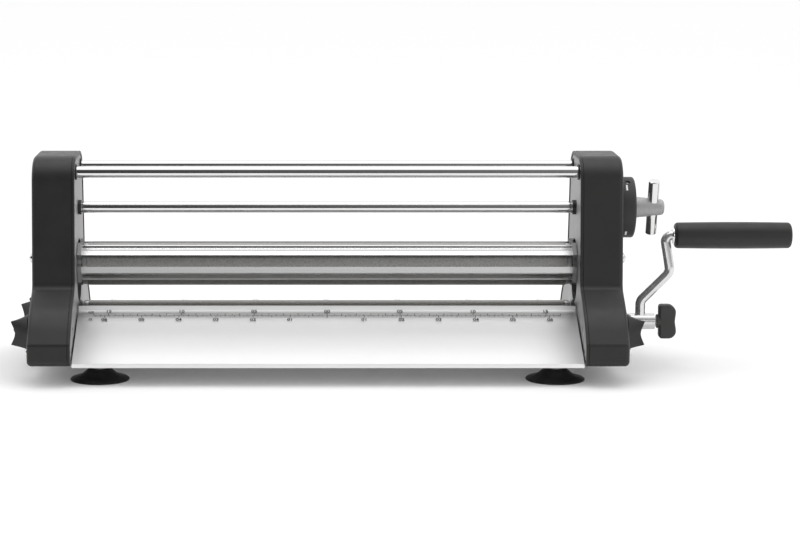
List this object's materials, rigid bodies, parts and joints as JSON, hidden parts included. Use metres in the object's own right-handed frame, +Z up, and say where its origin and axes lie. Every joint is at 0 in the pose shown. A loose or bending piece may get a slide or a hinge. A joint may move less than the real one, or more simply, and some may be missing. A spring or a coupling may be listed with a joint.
{
  "type": "hand cranked dough sheeter",
  "caption": "Hand cranked table-top dough sheeter: two long steel rollers between black side covers, sloping trays, a T-handle for thickness and suction cup feet.",
  "frame": {"origin": "on the table, under the centre of the whole object's box", "axes": "+X along the rollers towards the crank, +Y away from the user, +Z up"},
  "size_m": [0.5342, 0.1606, 0.1483],
  "materials": {
    "plate_steel": "brushed",
    "black_cover": "satin moulded",
    "screw_steel": "plated",
    "polished_rod": "polished",
    "black_fitting": "satin",
    "block_steel": "machined",
    "bronze": "machined",
    "strip_steel": "polished",
    "tray_steel": "satin",
    "cup_rubber": "matt",
    "grey_plastic": "satin",
    "gear_brass": "cut",
    "black_dial": "satin",
    "dark_steel": "blackened",
    "roller_steel": "blasted",
    "collar_steel": "turned",
    "black_knob": "satin",
    "black_grip": "smooth"
  },
  "bodies": {
    "frame": {"left_side_plate": "plate_steel", "right_side_plate": "plate_steel", "left_cover": "black_cover", "right_cover": "black_cover", "cover_screws": "screw_steel", "front_top_rod": "polished_rod", "back_top_rod": "polished_rod", "rod_collars": "black_fitting", "rod_screws": "screw_steel", "shaft_bushes": "black_fitting", "lower_bearing_housings": "block_steel", "housing_ring_nuts": "screw_steel", "lower_bushes": "bronze", "front_lower_scraper": "strip_steel", "back_lower_scraper": "strip_steel", "front_tray": "tray_steel", "back_tray": "tray_steel", "tray_screws": "screw_steel", "suction_cups": "cup_rubber", "cup_posts": "grey_plastic", "cup_nuts": "screw_steel", "knob_nuts": "screw_steel"},
    "adjuster": {"adjusting_shaft": "polished_rod", "left_pinion": "gear_brass", "right_pinion": "gear_brass", "thickness_dial": "black_dial", "dial_set_screw": "dark_steel", "thickness_hub": "grey_plastic", "t_bar": "polished_rod"},
    "carriage": {"left_bearing_block": "block_steel", "right_bearing_block": "block_steel", "upper_bushes": "bronze", "front_guard_strip": "strip_steel", "back_guard_strip": "strip_steel", "front_upper_scraper": "strip_steel", "back_upper_scraper": "strip_steel"},
    "upper_roller_set": {"upper_roller": "roller_steel", "upper_roller_collars": "collar_steel", "upper_roller_clips": "dark_steel"},
    "lower_roller_set": {"lower_roller": "roller_steel", "lower_roller_collars": "collar_steel", "crank_hub": "polished_rod", "crank_arm": "polished_rod", "crank_drive_pin": "dark_steel", "grip_ferrule": "polished_rod", "left_axle_knob": "black_knob"},
    "grip": {"crank_grip": "black_grip"},
    "clamp_knob": {"crank_clamp_knob": "black_knob"},
    "front_left_knob_set": {"front_left_knob": "black_knob", "front_left_stud": "screw_steel"},
    "back_left_knob_set": {"back_left_knob": "black_knob", "back_left_stud": "screw_steel"},
    "front_right_knob_set": {"front_right_knob": "black_knob", "front_right_stud": "screw_steel"},
    "back_right_knob_set": {"back_right_knob": "black_knob", "back_right_stud": "screw_steel"}
  },
  "joints": [
    {"name": "crank_turn", "type": "hinge", "parent": "frame", "child": "lower_roller_set", "pos_m": [-0.0543, 0, 0.0307], "axis": [1, 0, 0], "continuous": true},
    {"name": "thickness_turn", "type": "hinge", "parent": "frame", "child": "adjuster", "pos_m": [-0.0543, 0, 0.1108], "axis": [1, 0, 0], "range_deg": [-75.3, 10.8]},
    {"name": "carriage_lift", "type": "slide", "parent": "frame", "child": "carriage", "axis": [0, 0, 1], "range_m": [-0.0105, 0.0015]},
    {"name": "upper_roller_turn", "type": "hinge", "parent": "carriage", "child": "upper_roller_set", "pos_m": [-0.0543, 0, 0.0712], "axis": [1, 0, 0], "continuous": true},
    {"name": "grip_turn", "type": "hinge", "parent": "lower_roller_set", "child": "grip", "pos_m": [0.2257, 0, 0.0911], "axis": [1, 0, 0], "continuous": true},
    {"name": "clamp_knob_turn", "type": "hinge", "parent": "lower_roller_set", "child": "clamp_knob", "pos_m": [0.1807, 0, 0.0307], "axis": [1, 0, 0], "range_deg": [0, 720]},
    {"name": "front_left_knob_turn", "type": "hinge", "parent": "frame", "child": "front_left_knob_set", "pos_m": [-0.2603, -0.055, 0.0335], "axis": [-1, 0, 0], "range_deg": [0, 720]},
    {"name": "back_left_knob_turn", "type": "hinge", "parent": "frame", "child": "back_left_knob_set", "pos_m": [-0.2603, 0.055, 0.0335], "axis": [-1, 0, 0], "range_deg": [0, 720]},
    {"name": "front_right_knob_turn", "type": "hinge", "parent": "frame", "child": "front_right_knob_set", "pos_m": [0.1517, -0.055, 0.0335], "axis": [1, 0, 0], "range_deg": [0, 720]},
    {"name": "back_right_knob_turn", "type": "hinge", "parent": "frame", "child": "back_right_knob_set", "pos_m": [0.1517, 0.055, 0.0335], "axis": [1, 0, 0], "range_deg": [0, 720]}
  ],
  "couplings": [
    {"joint": "thickness_turn", "follows": "carriage_lift", "rad_per_m": 125}
  ]
}
